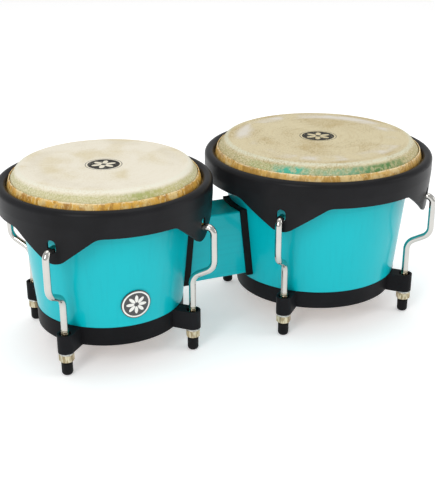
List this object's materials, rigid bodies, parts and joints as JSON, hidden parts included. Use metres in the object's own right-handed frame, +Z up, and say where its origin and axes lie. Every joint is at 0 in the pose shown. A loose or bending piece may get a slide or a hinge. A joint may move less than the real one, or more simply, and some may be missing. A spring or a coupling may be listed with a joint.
{
  "type": "bongo drums",
  "caption": "Pair of small hand drums on one centre block, with hide heads, black eared rims, bent tuning rods and rubber-tipped feet.",
  "frame": {"origin": "on the floor under the middle of the pair's overall width and depth", "axes": "+Z up along both drums' axes, +X from the small drum to the large one, -Y towards the player"},
  "size_m": [0.433, 0.2258, 0.1745],
  "materials": {
    "shell_lacquer": "gloss lacquer",
    "block_lacquer": "gloss lacquer",
    "ring_enamel": "satin",
    "rim_enamel": "satin",
    "macho_hide": "smooth",
    "macho_hide_edge": "smooth",
    "hembra_hide": "smooth",
    "hembra_hide_edge": "smooth",
    "hoop_steel": "brushed",
    "rod_chrome": "polished",
    "nut_brass": "satin",
    "tip_rubber": "matte",
    "washer_steel": "satin",
    "gasket_rubber": "matte",
    "bolt_steel": "satin",
    "plug_rubber": "matte",
    "badge_metal": "gloss"
  },
  "bodies": {
    "drums": {"macho_shell": "shell_lacquer", "macho_bottom_ring": "ring_enamel", "macho_skin": "macho_hide", "macho_tuning_washers": "washer_steel", "hembra_shell": "shell_lacquer", "hembra_bottom_ring": "ring_enamel", "hembra_skin": "hembra_hide", "hembra_tuning_washers": "washer_steel", "centre_block": "block_lacquer", "macho_block_gasket": "gasket_rubber", "hembra_block_gasket": "gasket_rubber", "block_bolts": "bolt_steel", "block_washers": "bolt_steel", "block_nuts": "bolt_steel", "block_plug": "plug_rubber", "badge": "badge_metal"},
    "macho_tension_set": {"macho_flesh_hoop": "hoop_steel", "macho_skin_tuck": "macho_hide_edge", "macho_rim": "rim_enamel", "macho_rod_front_left": "rod_chrome", "macho_tip_front_left": "tip_rubber", "macho_rod_front_right": "rod_chrome", "macho_tip_front_right": "tip_rubber", "macho_rod_back_right": "rod_chrome", "macho_tip_back_right": "tip_rubber", "macho_rod_back_left": "rod_chrome", "macho_tip_back_left": "tip_rubber"},
    "hembra_tension_set": {"hembra_flesh_hoop": "hoop_steel", "hembra_skin_tuck": "hembra_hide_edge", "hembra_rim": "rim_enamel", "hembra_rod_front_left": "rod_chrome", "hembra_tip_front_left": "tip_rubber", "hembra_rod_front_right": "rod_chrome", "hembra_tip_front_right": "tip_rubber", "hembra_rod_back_right": "rod_chrome", "hembra_tip_back_right": "tip_rubber", "hembra_rod_back_left": "rod_chrome", "hembra_tip_back_left": "tip_rubber"},
    "macho_nut_front_left": {"macho_nut_front_left": "nut_brass"},
    "macho_nut_front_right": {"macho_nut_front_right": "nut_brass"},
    "macho_nut_back_right": {"macho_nut_back_right": "nut_brass"},
    "macho_nut_back_left": {"macho_nut_back_left": "nut_brass"},
    "hembra_nut_front_left": {"hembra_nut_front_left": "nut_brass"},
    "hembra_nut_front_right": {"hembra_nut_front_right": "nut_brass"},
    "hembra_nut_back_right": {"hembra_nut_back_right": "nut_brass"},
    "hembra_nut_back_left": {"hembra_nut_back_left": "nut_brass"}
  },
  "joints": [
    {"name": "macho_tension_slide", "type": "slide", "parent": "drums", "child": "macho_tension_set", "axis": [0, 0, 1], "range_m": [-0.005, 0.001]},
    {"name": "macho_nut_front_left_turn", "type": "hinge", "parent": "drums", "child": "macho_nut_front_left", "pos_m": [-0.17827, -0.06102, 0.0179], "axis": [0, 0, 1], "range_deg": [-290, 1430]},
    {"name": "macho_nut_front_right_turn", "type": "hinge", "parent": "drums", "child": "macho_nut_front_right", "pos_m": [-0.05623, -0.06102, 0.0179], "axis": [0, 0, 1], "range_deg": [-290, 1430]},
    {"name": "macho_nut_back_right_turn", "type": "hinge", "parent": "drums", "child": "macho_nut_back_right", "pos_m": [-0.05623, 0.06102, 0.0179], "axis": [0, 0, 1], "range_deg": [-290, 1430]},
    {"name": "macho_nut_back_left_turn", "type": "hinge", "parent": "drums", "child": "macho_nut_back_left", "pos_m": [-0.17827, 0.06102, 0.0179], "axis": [0, 0, 1], "range_deg": [-290, 1430]},
    {"name": "hembra_tension_slide", "type": "slide", "parent": "drums", "child": "hembra_tension_set", "axis": [0, 0, 1], "range_m": [-0.005, 0.001]},
    {"name": "hembra_nut_front_left_turn", "type": "hinge", "parent": "drums", "child": "hembra_nut_front_left", "pos_m": [0.03556, -0.06809, 0.0179], "axis": [0, 0, 1], "range_deg": [-290, 1430]},
    {"name": "hembra_nut_front_right_turn", "type": "hinge", "parent": "drums", "child": "hembra_nut_front_right", "pos_m": [0.17174, -0.06809, 0.0179], "axis": [0, 0, 1], "range_deg": [-290, 1430]},
    {"name": "hembra_nut_back_right_turn", "type": "hinge", "parent": "drums", "child": "hembra_nut_back_right", "pos_m": [0.17174, 0.06809, 0.0179], "axis": [0, 0, 1], "range_deg": [-290, 1430]},
    {"name": "hembra_nut_back_left_turn", "type": "hinge", "parent": "drums", "child": "hembra_nut_back_left", "pos_m": [0.03556, 0.06809, 0.0179], "axis": [0, 0, 1], "range_deg": [-290, 1430]}
  ],
  "couplings": [
    {"joint": "macho_nut_front_left_turn", "follows": "macho_tension_slide", "rad_per_m": -4947.4},
    {"joint": "macho_nut_front_right_turn", "follows": "macho_tension_slide", "rad_per_m": -4947.4},
    {"joint": "macho_nut_back_right_turn", "follows": "macho_tension_slide", "rad_per_m": -4947.4},
    {"joint": "macho_nut_back_left_turn", "follows": "macho_tension_slide", "rad_per_m": -4947.4},
    {"joint": "hembra_nut_front_left_turn", "follows": "hembra_tension_slide", "rad_per_m": -4947.4},
    {"joint": "hembra_nut_front_right_turn", "follows": "hembra_tension_slide", "rad_per_m": -4947.4},
    {"joint": "hembra_nut_back_right_turn", "follows": "hembra_tension_slide", "rad_per_m": -4947.4},
    {"joint": "hembra_nut_back_left_turn", "follows": "hembra_tension_slide", "rad_per_m": -4947.4}
  ]
}
